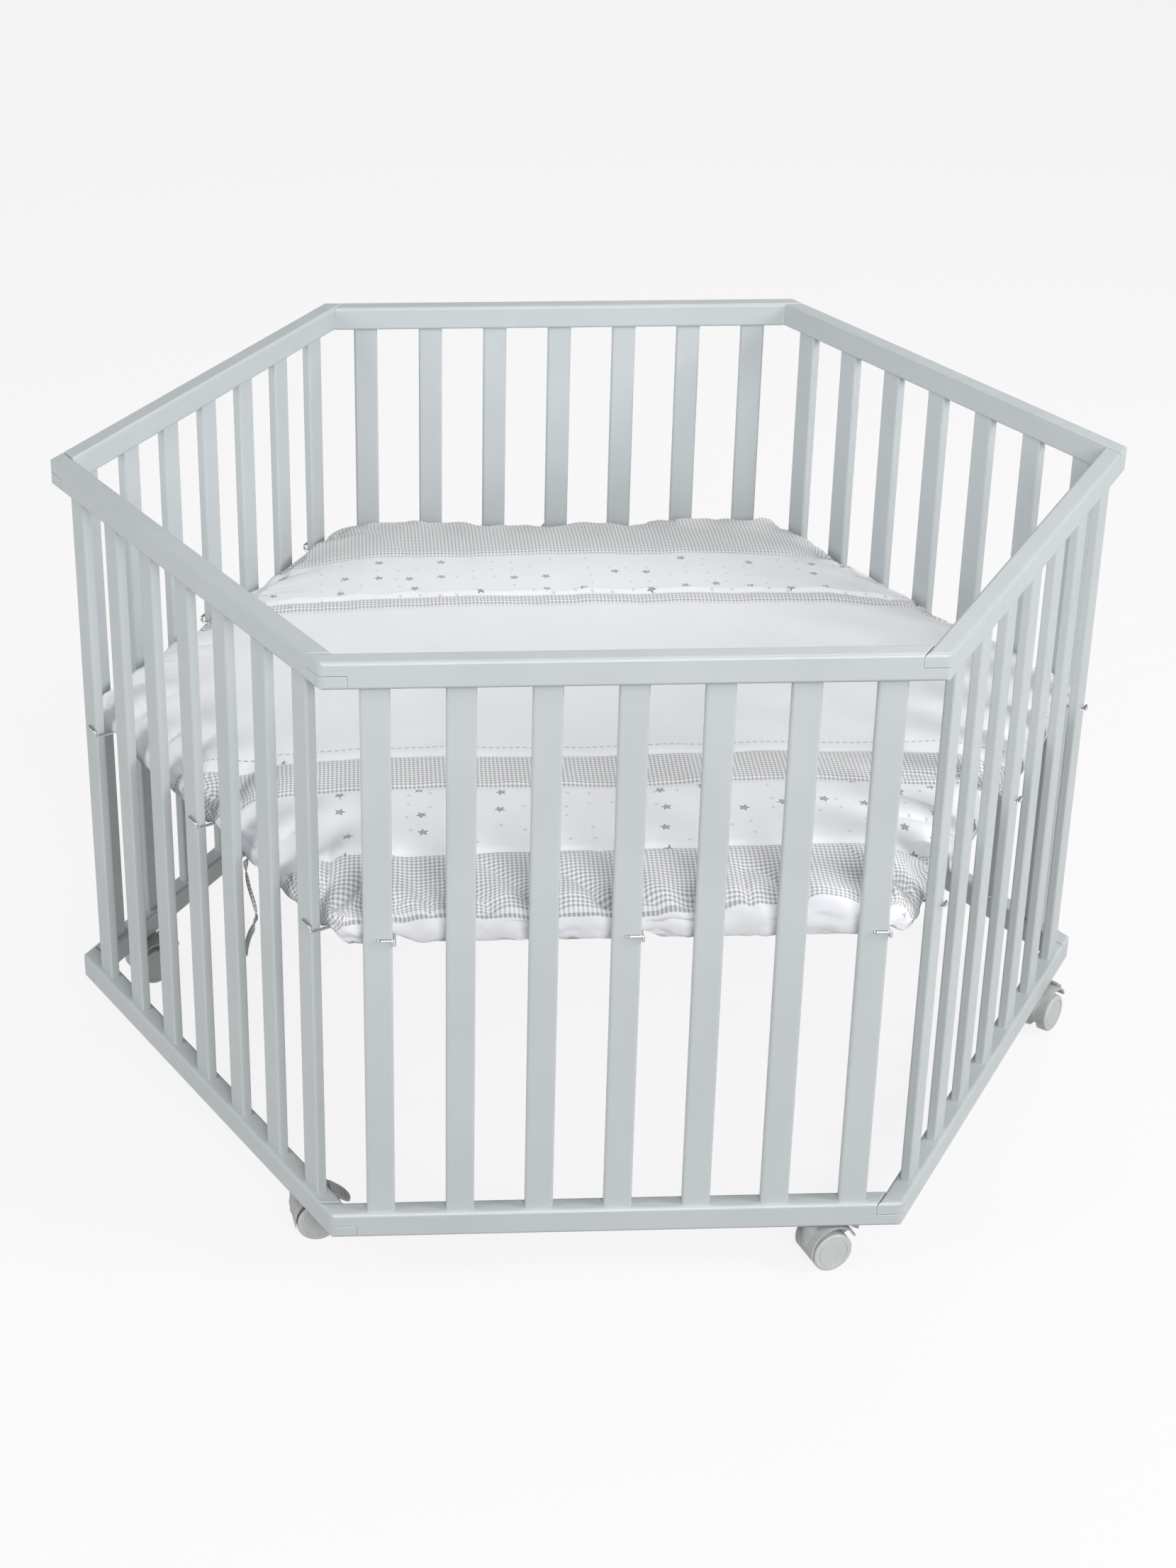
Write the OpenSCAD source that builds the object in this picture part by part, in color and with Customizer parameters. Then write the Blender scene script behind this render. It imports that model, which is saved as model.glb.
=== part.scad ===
// Hexagonal playpen: six slatted panels with half-lapped rail corners, a lift-out base board
// that rests on wire hooks, a padded fabric insert, and six braked twin-wheel castors.
// Millimetres, +Z up. The origin is on the floor under the middle of the hexagon.

/* [Frame] */
// Length of each of the six sides, along the outer face
side = 630; // [600:5:660]
// Height of the top rail's upper face above the floor
total_h = 765; // [740:5:790]
// Height of a rail's section
rail_h = 31; // [29:0.5:34]
// Depth of a rail's section, outer face to inner face
rail_d = 24; // [23:0.5:27]
// Rounding of a rail's long edges
rail_edge_r = 4; // [2:0.5:6]
// Rounding of the frame's six vertical corners
corner_r = 9; // [6:0.5:11]

/* [Slats] */
// Number of slats in a panel
slat_count = 7; // [7:2:7]
// Distance between the middles of two slats
slat_pitch = 86.7; // [82:0.1:90]
// Width of a slat
slat_w = 31; // [28:0.5:33]
// Thickness of a slat
slat_t = 12; // [11:0.5:14]
// Rounding of a slat's long edges
slat_edge_r = 3; // [1.5:0.5:4]

/* [Base and insert] */
// Height of the base hooks' screw line above the floor
hook_z = 440; // [400:5:470]
// Diameter of the hook wire
wire_d = 3.4; // [2.8:0.1:4]
// Thickness of the base board
board_t = 10; // [8:1:12]
// Thickness of the padding above the board at its middle
pad_t = 28; // [20:1:35]
// Drop of the insert's skirt below the board's underside
skirt_drop = 15; // [8:1:20]

/* [Castors] */
// Height from the floor to the underside of the bottom rail
castor_h = 60; // [60:1:60]
// Wheel radius
wheel_r = 24; // [23:0.5:24]
// Distance from the swivel axis back to the axle
trail = 20; // [18:1:20]
// Castor place along the panel, from the panel's middle
castor_u = 216.75; // [214:0.25:220]

/* [Hidden] */
$fn = 48;
SIDES = ["front", "front_right", "back_right", "back", "back_left", "front_left"];
// Swivel heading of each castor as it stands, degrees about +Z
HEADINGS = [20, 50, 190, 200, 30, 10];
HOOK_SLATS = [0, 3, 6];

apothem = side * sqrt(3) / 2;
run = rail_d * tan(30);
shoulder = rail_d / cos(30);
corner_kite = corner_r * tan(30);
bottom_rail_z = castor_h;
top_rail_z = total_h - rail_h;
seam = 0.6;
seam_groove = 1.1;
tenon = 12;
tenon_gap = 0.1;
slat_in = (rail_d - slat_t) / 2;
slat_z0 = bottom_rail_z + rail_h - tenon;
slat_z1 = top_rail_z + tenon;

bolt_u = side / 2 - shoulder / 4;
bolt_d = 6;
bolt_clear_d = 6.5;
bolt_len = 22;
bolt_head_d = 10;
bolt_head_h = 4.5;
counterbore_d = 11;
counterbore_h = 5;
insert_od = 10;
insert_len = 12;
insert_z = rail_h / 2 + 0.5;

wire_r = wire_d / 2;
wire_y = slat_in - wire_r - 0.5;
wire_bend = 3.2;
wire_reach = 45;
wire_drop = 7;
wire_u = slat_w / 2 + wire_r + 0.4;
screw_depth = 11;

board_z = hook_z - wire_drop + wire_r + 0.3;
board_a = apothem - 31.6;
board_gap = 0.6;
cleat_w = 60;
cleat_t = 8;
cleat_len = 960;
cleat_screw_v = [-420, -140, 140, 420];
cleat_screw_u = 18;
cleat_screw_d = 4;
cleat_screw_len = 14;

insert_a = board_a + 5;
skirt_a = board_a + 1.3;
insert_top = board_z + board_t + pad_t;
notch_w = 26;

rail_bore_d = 11;
sleeve_len = 26;
stem_d = 8;
stem_top = castor_h + sleeve_len - 1;
flange_d = 15;
flange_t = 1.5;
axle_z = wheel_r;
axle_d = 6;
hood_w = 38;
hood_x = trail + 1.5;
hood_z = axle_z + 5;
hood_r = 28.8;
hood_in_r = 26.3;
pocket_r = wheel_r + 1.2;
web_half = 6.2;
wheel_in = 6.8;
wheel_w = 13.2;
tread_r = 2.5;
boss_r = 9;
boss_top = castor_h - 1.8;
pivot_x = trail + 13;
pivot_z = axle_z + 22;
pivot_d = 3;
arm_half = 3.2;
pedal_half = 12;
pedal_slope = 38;

// The route of the hanging tie, in the front left panel's own frame: along, inward, height.
TIE_ROUTE = [[88, 28.4, 420], [88, 28.4, 412], [89.5, 28, 403], [93, 27.4, 394.5],
    [98, 27, 386.5], [103.5, 27, 379], [108, 27, 371], [110, 27, 362], [109, 27, 353],
    [105.5, 27, 344.5], [100.5, 27, 336.5], [95, 27, 328.5], [90, 27.4, 320],
    [85.5, 27.8, 311], [82, 28, 302], [80, 28, 293]];
tie_w = 8;
tie_t = 1.6;

castor_parts = ["hood", "wheel_left", "wheel_right", "pedal", "pins"];

function slat_u(i) = (i - (slat_count - 1) / 2) * slat_pitch;

// Panel k's own frame: X along the panel, Y inward from its outer face, Z up.
module on_panel(k) {
    rotate([0, 0, 60 * k])
        translate([0, -apothem, 0])
            children();
}

// Castor k's own frame: origin under the stem, X towards the axle.
module on_castor(k) {
    on_panel(k)
        translate([castor_u, rail_d / 2, 0])
            rotate([0, 0, HEADINGS[k] - 60 * k])
                children();
}

module rounded_rect(w, h, r) {
    translate([r, 0])
        square([w - 2 * r, h]);
    translate([0, r])
        square([w, h - 2 * r]);
    for (x = [r, w - r])
        for (y = [r, h - r])
            translate([x, y])
                circle(r);
}

// ---------------------------------------------------------------- frame

// The rail's long section, extruded along X, with its outer face on Y = 0.
module section_run(depth) {
    rotate([90, 0, 90])
        linear_extrude(2 * side, center = true)
            rounded_rect(depth, rail_h, rail_edge_r);
}

// The neighbour's outer face at the left end, which the tongue ends flush with.
module end_limit() {
    translate([-side / 2, 0, 0])
        rotate([0, 0, -60])
            section_run(2 * side);
}

module plan_limit() {
    linear_extrude(rail_h)
        difference() {
            polygon([[-side / 2, 0], [side / 2, 0], [side / 2 + run, rail_d],
                [-side / 2 - run, rail_d]]);
            for (m = [0, 1])
                mirror([m, 0])
                    translate([-side / 2, 0])
                        difference() {
                            polygon([[-1, -1], [corner_kite, -1], [corner_kite, corner_r],
                                [-corner_kite / 2, corner_kite * cos(30)], [-1, 1]]);
                            translate([corner_kite, corner_r])
                                circle(corner_r);
                        }
        }
}

// Half of the rail's height over the lapped corner at the left end.
module lap_cut(z0, z1) {
    grow = seam / 2 / cos(30);
    translate([0, 0, z0])
        linear_extrude(z1 - z0)
            polygon([[-side / 2 + shoulder + grow, 0], [-side / 2 + shoulder + grow + 1, -2],
                [-side / 2 - 60, -2], [-side / 2 - 60, rail_d + 2],
                [-side / 2 + shoulder + grow - (rail_d + 2) * tan(30), rail_d + 2]]);
}

// Small V grooves that ease the edges of the lap's visible joint lines, left end.
module lap_grooves(lower) {
    z_face = lower ? 0 : rail_h;
    translate([-side / 2 + shoulder, 0, rail_h / 4 + (lower ? 0 : rail_h / 2)])
        rotate([0, 0, 45])
            cube([seam_groove, seam_groove, rail_h / 2], center = true);
    translate([-side / 2 + shoulder / 2, 0, rail_h / 2])
        rotate([45, 0, 0])
            cube([shoulder, seam_groove, seam_groove], center = true);
    translate([-side / 2, 0, rail_h / 2])
        rotate([0, 0, -60])
            rotate([45, 0, 0])
                cube([2 * shoulder, seam_groove, seam_groove], center = true);
    translate([-side / 2 + shoulder, 0, z_face])
        rotate([0, 0, 120])
            rotate([45, 0, 0])
                cube([3 * rail_d, seam_groove, seam_groove], center = true);
}

module rail(mortise_z, castor_bore) {
    difference() {
        intersection() {
            section_run(rail_d);
            end_limit();
            mirror([1, 0, 0])
                end_limit();
            plan_limit();
        }
        lap_cut(-1, rail_h / 2 + seam / 2);
        mirror([1, 0, 0])
            lap_cut(rail_h / 2 - seam / 2, rail_h + 1);
        lap_grooves(true);
        mirror([1, 0, 0])
            lap_grooves(false);
        for (i = [0 : slat_count - 1])
            translate([slat_u(i) - slat_w / 2 - tenon_gap, slat_in - tenon_gap, mortise_z])
                linear_extrude(tenon + 2)
                    rounded_rect(slat_w + 2 * tenon_gap, slat_t + 2 * tenon_gap, slat_edge_r);
        translate([-bolt_u, rail_d / 2, 0])
            cylinder(d = insert_od, h = insert_z + insert_len + 0.5);
        translate([bolt_u, rail_d / 2, -1])
            cylinder(d = bolt_clear_d, h = rail_h);
        translate([bolt_u, rail_d / 2, -1])
            cylinder(d = counterbore_d, h = counterbore_h + 1);
        if (castor_bore)
            translate([castor_u, rail_d / 2, -1])
                cylinder(d = rail_bore_d, h = sleeve_len + 1.3);
    }
}

module top_rail(k) {
    color([0.76, 0.78, 0.79])
        on_panel(k)
            translate([0, 0, top_rail_z])
                rail(-2, false);
}

module bottom_rail(k) {
    color([0.76, 0.78, 0.79])
        on_panel(k)
            translate([0, 0, bottom_rail_z])
                rail(rail_h - tenon, true);
}

module slats(k) {
    color([0.76, 0.78, 0.79])
        on_panel(k)
            for (i = [0 : slat_count - 1])
                difference() {
                    translate([slat_u(i) - slat_w / 2, slat_in, slat_z0])
                        linear_extrude(slat_z1 - slat_z0)
                            rounded_rect(slat_w, slat_t, slat_edge_r);
                    if (len(search(i, HOOK_SLATS)) > 0)
                        translate([slat_u(i), slat_in - 1, hook_z])
                            rotate([-90, 0, 0])
                                cylinder(d = wire_d, h = screw_depth + 1);
                }
}

// Every rail's corner fasteners, one set at each of the 12 laps.
module at_corners() {
    for (k = [0 : 5])
        for (z = [bottom_rail_z, top_rail_z])
            on_panel(k)
                translate([bolt_u, rail_d / 2, z])
                    children();
}

module corner_bolts() {
    color("silver")
        at_corners()
            difference() {
                union() {
                    translate([0, 0, counterbore_h - bolt_head_h])
                        cylinder(d = bolt_head_d, h = bolt_head_h);
                    translate([0, 0, counterbore_h - 1])
                        cylinder(d = bolt_d - 0.1, h = bolt_len + 1);
                }
                translate([0, 0, -1])
                    cylinder(d = 4.6, h = 4, $fn = 6);
            }
}

module corner_inserts() {
    color("goldenrod")
        at_corners()
            translate([0, 0, insert_z])
                difference() {
                    cylinder(d = insert_od, h = insert_len);
                    translate([0, 0, -1])
                        cylinder(d = bolt_d, h = insert_len + 2);
                }
}

// ---------------------------------------------------------------- base

// A quarter turn of wire in the XY plane, from +X to +Y.
module wire_elbow() {
    rotate_extrude(angle = 90)
        translate([wire_bend, 0])
            circle(wire_r);
}

// A hook screwed into a slat: out of the face, round the slat's edge and in under the board.
module hook() {
    translate([0, wire_y + wire_bend, 0])
        rotate([-90, 0, 0])
            cylinder(r = wire_r, h = slat_in + screw_depth - wire_y - wire_bend);
    translate([wire_bend, wire_y + wire_bend, 0])
        rotate([0, 0, 180])
            wire_elbow();
    translate([wire_bend, wire_y, 0])
        rotate([0, 90, 0])
            cylinder(r = wire_r, h = wire_u - 2 * wire_bend);
    translate([wire_u - wire_bend, wire_y, -wire_bend])
        rotate([90, 0, 0])
            wire_elbow();
    translate([wire_u, wire_y, wire_bend - wire_drop])
        cylinder(r = wire_r, h = wire_drop - 2 * wire_bend);
    translate([wire_u, wire_y + wire_bend, wire_bend - wire_drop])
        rotate([90, 0, 90])
            rotate([0, 0, 180])
                wire_elbow();
    translate([wire_u, wire_y + wire_bend, -wire_drop])
        rotate([-90, 0, 0])
            cylinder(r = wire_r, h = wire_reach - wire_y - wire_bend);
}

module base_hooks() {
    color("white")
        for (k = [0 : 5])
            for (i = HOOK_SLATS)
                on_panel(k)
                    translate([slat_u(i), 0, hook_z])
                        hook();
}

// A hexagonal plate whose sides lie along the six panels.
module hex_plate(a, h) {
    cylinder(r = a / cos(30), h = h, $fn = 6);
}

module cleat_screw_places() {
    for (u = [-cleat_screw_u, cleat_screw_u])
        for (v = cleat_screw_v)
            translate([u, v, board_z - cleat_t])
                children();
}

module base_board_half(right) {
    color("burlywood")
        difference() {
            translate([0, 0, board_z])
                hex_plate(board_a, board_t);
            translate([right ? board_gap / 2 - side : -board_gap / 2, -side, board_z - 1])
                cube([side, 2 * side, board_t + 2]);
            cleat_screw_places()
                cylinder(d = cleat_screw_d, h = cleat_screw_len + 0.5);
        }
}

module base_board_left() {
    base_board_half(false);
}

module base_board_right() {
    base_board_half(true);
}

module base_cleat() {
    color("burlywood")
        difference() {
            translate([-cleat_w / 2, -cleat_len / 2, board_z - cleat_t])
                cube([cleat_w, cleat_len, cleat_t]);
            cleat_screw_places()
                translate([0, 0, -1])
                    cylinder(d = cleat_screw_d, h = cleat_t + 2);
            cleat_screw_places()
                cylinder(d1 = 2 * cleat_screw_d, d2 = cleat_screw_d, h = cleat_screw_d / 2);
        }
}

module cleat_screws() {
    color("silver")
        cleat_screw_places()
            difference() {
                union() {
                    cylinder(d1 = 2 * cleat_screw_d, d2 = cleat_screw_d, h = cleat_screw_d / 2);
                    cylinder(d = cleat_screw_d, h = cleat_screw_len);
                }
                translate([-2, -0.4, -1])
                    cube([4, 0.8, 2]);
            }
}

module insert() {
    color("whitesmoke")
        difference() {
            translate([0, 0, board_z - skirt_drop])
                hex_plate(insert_a, insert_top - board_z + skirt_drop);
            translate([0, 0, board_z - skirt_drop - 1])
                hex_plate(skirt_a, skirt_drop + board_t + 1.3);
            for (k = [0 : 5])
                for (i = HOOK_SLATS)
                    on_panel(k)
                        translate([slat_u(i) + wire_u - notch_w / 2, 0, board_z - skirt_drop - 1])
                            cube([notch_w, 60, skirt_drop + 2]);
        }
}

// One ring of the tie's flat section, square to the route in the panel's plane.
function tie_dir(i) = let (a = TIE_ROUTE[max(i - 1, 0)],
                           b = TIE_ROUTE[min(i + 1, len(TIE_ROUTE) - 1)])
                      (b - a) / norm(b - a);
function tie_ring(i) = let (t = tie_dir(i), s = cross([0, 1, 0], t), w = s / norm(s),
                            n = cross(t, w))
                       [for (a = [22.5 : 45 : 337.5])
                           TIE_ROUTE[i] + w * cos(a) * tie_w / 2 + n * sin(a) * tie_t / 2];

module insert_tie() {
    rings = len(TIE_ROUTE);
    points = [for (i = [0 : rings - 1]) each tie_ring(i)];
    walls = [for (i = [0 : rings - 2]) for (j = [0 : 7])
        [i * 8 + j, i * 8 + (j + 1) % 8, (i + 1) * 8 + (j + 1) % 8, (i + 1) * 8 + j]];
    caps = [[for (j = [7 : -1 : 0]) j], [for (j = [0 : 7]) (rings - 1) * 8 + j]];
    color("whitesmoke")
        on_panel(5)
            polyhedron(points = points, faces = concat(walls, caps), convexity = 4);
}

// ---------------------------------------------------------------- castors

module castor_sockets() {
    color("silver")
        for (k = [0 : 5])
            on_panel(k)
                translate([castor_u, rail_d / 2, castor_h])
                    difference() {
                        union() {
                            translate([0, 0, -flange_t])
                                cylinder(d = flange_d, h = flange_t);
                            cylinder(d = rail_bore_d, h = sleeve_len);
                        }
                        translate([0, 0, -flange_t - 1])
                            cylinder(d = stem_d + 0.1, h = sleeve_len + flange_t + 2);
                    }
}

// A cylinder across the castor, on a line along Y through (x, z).
module cross_cyl(x, z, r, w) {
    translate([x, 0, z])
        rotate([90, 0, 0])
            cylinder(r = r, h = w, center = true);
}

// An outline in the castor's XZ plane, w thick about its middle.
module cross_plate(w) {
    rotate([90, 0, 0])
        linear_extrude(w, center = true)
            children();
}

// The side outline that the hood keeps: front lip, web round the axle, rear lip at 23 degrees.
module hood_outline() {
    polygon([[-12, axle_z - 5], [trail - 10, axle_z - 5], [trail - 6, axle_z - 11],
        [trail + 6, axle_z - 11], [trail + 11, axle_z - 4], [hood_x + 14.5, hood_z + 6.2],
        [hood_x + 60 * cos(23), hood_z + 60 * sin(23)], [hood_x + 55, 80], [-12, 80]]);
}

module arm_pocket() {
    cross_plate(2 * arm_half + 0.8)
        polygon([[pivot_x - 4.4, pivot_z + 2.5], [pivot_x + 1.5, pivot_z + 14],
            [pivot_x + 21, pivot_z + 14], [pivot_x + 21, pivot_z], [pivot_x + 3.5, pivot_z - 5.1],
            [pivot_x, pivot_z - 4.8]]);
    cross_cyl(pivot_x, pivot_z, 4.7, 2 * arm_half + 0.8);
}

module castor_hood(k) {
    color([0.66, 0.68, 0.67])
        on_castor(k)
            difference() {
                union() {
                    intersection() {
                        cross_cyl(hood_x, hood_z, hood_r, hood_w);
                        cross_plate(hood_w)
                            hood_outline();
                    }
                    translate([0, 0, axle_z + 6])
                        cylinder(r = boss_r, h = boss_top - axle_z - 6);
                }
                for (m = [0, 1])
                    mirror([0, m, 0])
                        translate([0, web_half, 0])
                            rotate([-90, 0, 0]) {
                                translate([hood_x, -hood_z, 0])
                                    cylinder(r = hood_in_r, h = hood_w);
                                translate([trail, -axle_z, 0])
                                    cylinder(r = pocket_r, h = hood_w);
                            }
                translate([0, 0, axle_z + 16])
                    cylinder(d = stem_d, h = castor_h);
                cross_cyl(trail, axle_z, axle_d / 2, hood_w);
                cross_cyl(pivot_x, pivot_z, pivot_d / 2, 12);
                arm_pocket();
            }
}

// Half section of a wheel: inner face on y = 0, rounded tread edge, ring groove outside.
module wheel_section() {
    difference() {
        union() {
            square([wheel_r - tread_r, wheel_w]);
            square([wheel_r, wheel_w - tread_r]);
            translate([wheel_r - tread_r, wheel_w - tread_r])
                circle(tread_r);
        }
        translate([0, -1])
            square([axle_d / 2 + 0.05, wheel_w - 1.2]);
        translate([16.6, wheel_w - 0.7])
            square([1.3, 1]);
    }
}

module castor_wheel(k, sign) {
    color([0.68, 0.7, 0.69])
        on_castor(k)
            translate([trail, sign * wheel_in, axle_z])
                rotate([-90 * sign, 0, 0])
                    rotate_extrude()
                        wheel_section();
}

module castor_pedal(k) {
    x0 = pivot_x + 5.6;
    z0 = pivot_z + 9.8;
    color([0.6, 0.62, 0.61])
        on_castor(k)
            difference() {
                union() {
                    intersection() {
                        cross_plate(2 * pedal_half)
                            polygon([[x0 - 1, z0 + 1.2], [x0 + 0.6, z0 + 1.4],
                                [x0 + 21.5, z0 - 14.9], [x0 + 19.7, z0 - 17.3], [x0 - 1.2, z0 - 1]]);
                        translate([0, 0, axle_z])
                            linear_extrude(castor_h) {
                                translate([x0 - 4, -pedal_half])
                                    square([14, 2 * pedal_half]);
                                translate([x0 + 10, 0])
                                    circle(pedal_half);
                            }
                    }
                    for (i = [0 : 3])
                        translate([x0 + 3.4 + 4.2 * i, 0, z0 - 0.8 - 4.2 * i * tan(pedal_slope)])
                            rotate([0, pedal_slope, 0])
                                cube([1.2, 17, 1.4], center = true);
                    cross_plate(2 * arm_half)
                        polygon([[pivot_x - 2.8, pivot_z + 2.8], [x0 - 0.6, z0],
                            [x0 + 6, z0 - 5.2], [pivot_x + 2.6, pivot_z - 2.9]]);
                    cross_cyl(pivot_x, pivot_z, 4, 2 * arm_half);
                }
                cross_cyl(pivot_x, pivot_z, pivot_d / 2 + 0.05, 12);
            }
}

module castor_pins(k) {
    color("silver")
        on_castor(k) {
            translate([0, 0, axle_z + 16])
                cylinder(d = stem_d, h = stem_top - axle_z - 16);
            cross_cyl(trail, axle_z, axle_d / 2, 2 * (wheel_in + 10.8));
            cross_cyl(pivot_x, pivot_z, pivot_d / 2, 11.6);
        }
}

for (k = [0 : 5]) {
    top_rail(k);
    bottom_rail(k);
    slats(k);
    castor_hood(k);
    castor_wheel(k, -1);
    castor_wheel(k, 1);
    castor_pedal(k);
    castor_pins(k);
}
corner_bolts();
corner_inserts();
base_hooks();
base_board_left();
base_board_right();
base_cleat();
cleat_screws();
insert();
insert_tie();
castor_sockets();
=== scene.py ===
"""A hexagonal playpen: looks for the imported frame, in metres, +Z up, front panel towards -Y."""
import math

import bmesh
import bpy
from mathutils import Matrix, Vector, noise


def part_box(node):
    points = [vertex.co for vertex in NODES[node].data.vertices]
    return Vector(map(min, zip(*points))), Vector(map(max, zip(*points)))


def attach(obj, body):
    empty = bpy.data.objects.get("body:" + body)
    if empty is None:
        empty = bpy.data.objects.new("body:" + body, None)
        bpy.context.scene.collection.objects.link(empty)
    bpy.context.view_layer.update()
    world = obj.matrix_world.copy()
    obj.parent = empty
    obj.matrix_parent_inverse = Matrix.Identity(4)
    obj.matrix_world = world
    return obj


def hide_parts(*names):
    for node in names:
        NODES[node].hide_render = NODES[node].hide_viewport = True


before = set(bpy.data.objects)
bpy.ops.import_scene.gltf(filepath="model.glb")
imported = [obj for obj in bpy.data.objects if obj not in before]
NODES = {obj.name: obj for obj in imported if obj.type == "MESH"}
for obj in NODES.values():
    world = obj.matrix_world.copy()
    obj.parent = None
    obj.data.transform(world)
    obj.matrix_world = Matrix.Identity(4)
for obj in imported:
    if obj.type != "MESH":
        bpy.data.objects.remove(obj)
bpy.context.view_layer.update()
MM = 0.001
SIDES = ["front", "front_right", "back_right", "back", "back_left", "front_left"]

# The frame's own sizes.
APOTHEM = -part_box("front_top_rail")[0].y
SLAT_LOW, SLAT_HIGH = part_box("front_slats")
SLAT_COUNT = 7
SLAT_WIDTH = 31 * MM
SLAT_PITCH = (SLAT_HIGH.x - SLAT_LOW.x - SLAT_WIDTH) / (SLAT_COUNT - 1)
SLAT_INNER = -SLAT_HIGH.y
HOOK_SLATS = (0, 3, 6)
HOOK_WIRE_U = 17.6 * MM
INSERT_LOW, INSERT_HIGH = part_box("insert")
INSERT_APOTHEM = INSERT_HIGH.y
BOARD_TOP_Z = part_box("base_board_left")[1].z


def smooth(x, low, high):
    """0 below low, 1 above high, and an S curve between."""
    t = min(1.0, max(0.0, (x - low) / (high - low)))
    return t * t * (3 - 2 * t)


def bump(x, width):
    """A bell of height 1 at x = 0."""
    return math.exp(-((x / width) ** 2))


def slat_u(i):
    return (i - (SLAT_COUNT - 1) / 2) * SLAT_PITCH


def panel_point(k, u, inward, z):
    """A point in panel k's own frame: along it, inward from its outer face, and its height."""
    turn = Matrix.Rotation(math.radians(60 * k), 3, "Z")
    return turn @ Vector((u, inward - APOTHEM, z))


# Level unit vectors out through each panel and along it.
PANEL_OUT = [panel_point(k, 0, 0, 0).normalized() for k in range(len(SIDES))]
PANEL_ALONG = [panel_point(k, 1, APOTHEM, 0) for k in range(len(SIDES))]


def nearest_panel(point):
    return max(range(len(SIDES)), key=lambda k: point.dot(PANEL_OUT[k]))


def link(name, data):
    piece = bpy.data.objects.new(name, data)
    bpy.context.scene.collection.objects.link(piece)
    return piece


def mesh_object(name, points, faces):
    mesh = bpy.data.meshes.new(name)
    mesh.from_pydata([tuple(p) for p in points], [], faces)
    mesh.update()
    return link(name, mesh)


def shade_smooth(mesh):
    for face in mesh.polygons:
        face.use_smooth = True


def set_cloth_places(mesh, places):
    """Stores where each vertex lies in the flat cloth, in millimetres, for the print."""
    attribute = mesh.attributes.new("cloth", "FLOAT_VECTOR", "POINT")
    for item, place in zip(attribute.data, places):
        item.vector = place


# ---------------------------------------------------------------- camera, light and floor

CAMERA_AT = (-0.2744, -3.0015, 1.9734)
CAMERA_YAW = 2.289
CAMERA_PITCH = 26.679
CAMERA_ROLL = 0.172
CAMERA_LENS = 84.92
CAMERA_SHIFT = (0.1095, -0.0839)


def add_camera():
    yaw, pitch, roll = (math.radians(a) for a in (CAMERA_YAW, CAMERA_PITCH, CAMERA_ROLL))
    ahead = Vector((math.sin(yaw) * math.cos(pitch), math.cos(yaw) * math.cos(pitch),
                    -math.sin(pitch)))
    right = Vector((math.cos(yaw), -math.sin(yaw), 0))
    up = right.cross(ahead)
    right, up = (right * math.cos(roll) + up * math.sin(roll),
                 up * math.cos(roll) - right * math.sin(roll))
    data = bpy.data.cameras.new("camera")
    data.sensor_fit = "HORIZONTAL"
    data.sensor_width = 36
    data.lens = CAMERA_LENS
    data.shift_x, data.shift_y = CAMERA_SHIFT
    data.clip_end = 200
    camera = link("camera", data)
    camera.matrix_world = Matrix.Translation(CAMERA_AT) @ Matrix(
        (right, up, -ahead)).transposed().to_4x4()
    bpy.context.scene.camera = camera


# Round soft lights, all aimed at the playpen's middle: name, place, diameter and watts.
LIGHT_AIM = Vector((0, 0, 0.4))
LIGHTS = (("front", (0.5, -4.3, 2.6), 2.2, 138),
          ("right", (3.6, -1.5, 2.6), 1.6, 104),
          ("left", (-3.8, -1.7, 2.3), 2.2, 78),
          ("top", (1.0, 1.8, 3.2), 1.4, 33))
ROOM_LIGHT = 0.25


def add_area_light(name, at, size, watts):
    data = bpy.data.lights.new(name, "AREA")
    data.shape = "DISK"
    data.size = size
    data.energy = watts
    direction = LIGHT_AIM - Vector(at)
    turn = direction.to_track_quat("-Z", "Y").to_matrix().to_4x4()
    link(name, data).matrix_world = Matrix.Translation(at) @ turn


def add_studio():
    scene = bpy.context.scene
    scene.view_settings.view_transform = "Standard"
    world = bpy.data.worlds.new("studio")
    world.use_nodes = True
    background = world.node_tree.nodes["Background"]
    background.inputs["Color"].default_value = (1, 1, 1, 1)
    background.inputs["Strength"].default_value = ROOM_LIGHT
    scene.world = world
    for name, at, size, watts in LIGHTS:
        add_area_light(name, at, size, watts)


def add_floor():
    """Backlit white paper: it glows evenly, so the shadow on it is faint, as in the photo."""
    size = 50
    corners = [(-size, -size, 0), (size, -size, 0), (size, size, 0), (-size, size, 0)]
    floor = mesh_object("floor", corners, [(0, 1, 2, 3)])
    floor.location.z = -0.5 * MM
    shader = Shader("floor_paper")
    shader.set("Base Color", (0.08, 0.08, 0.08, 1))
    shader.set("Roughness", 0.9)
    shader.set("Emission Color", (1, 1, 1, 1))
    shader.set("Emission Strength", 0.85)
    floor.data.materials.append(shader.material)
    # Diffuse rays pass it by, so its glow doesn't light the playpen from below.
    floor.visible_diffuse = False


# ---------------------------------------------------------------- material helpers


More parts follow.
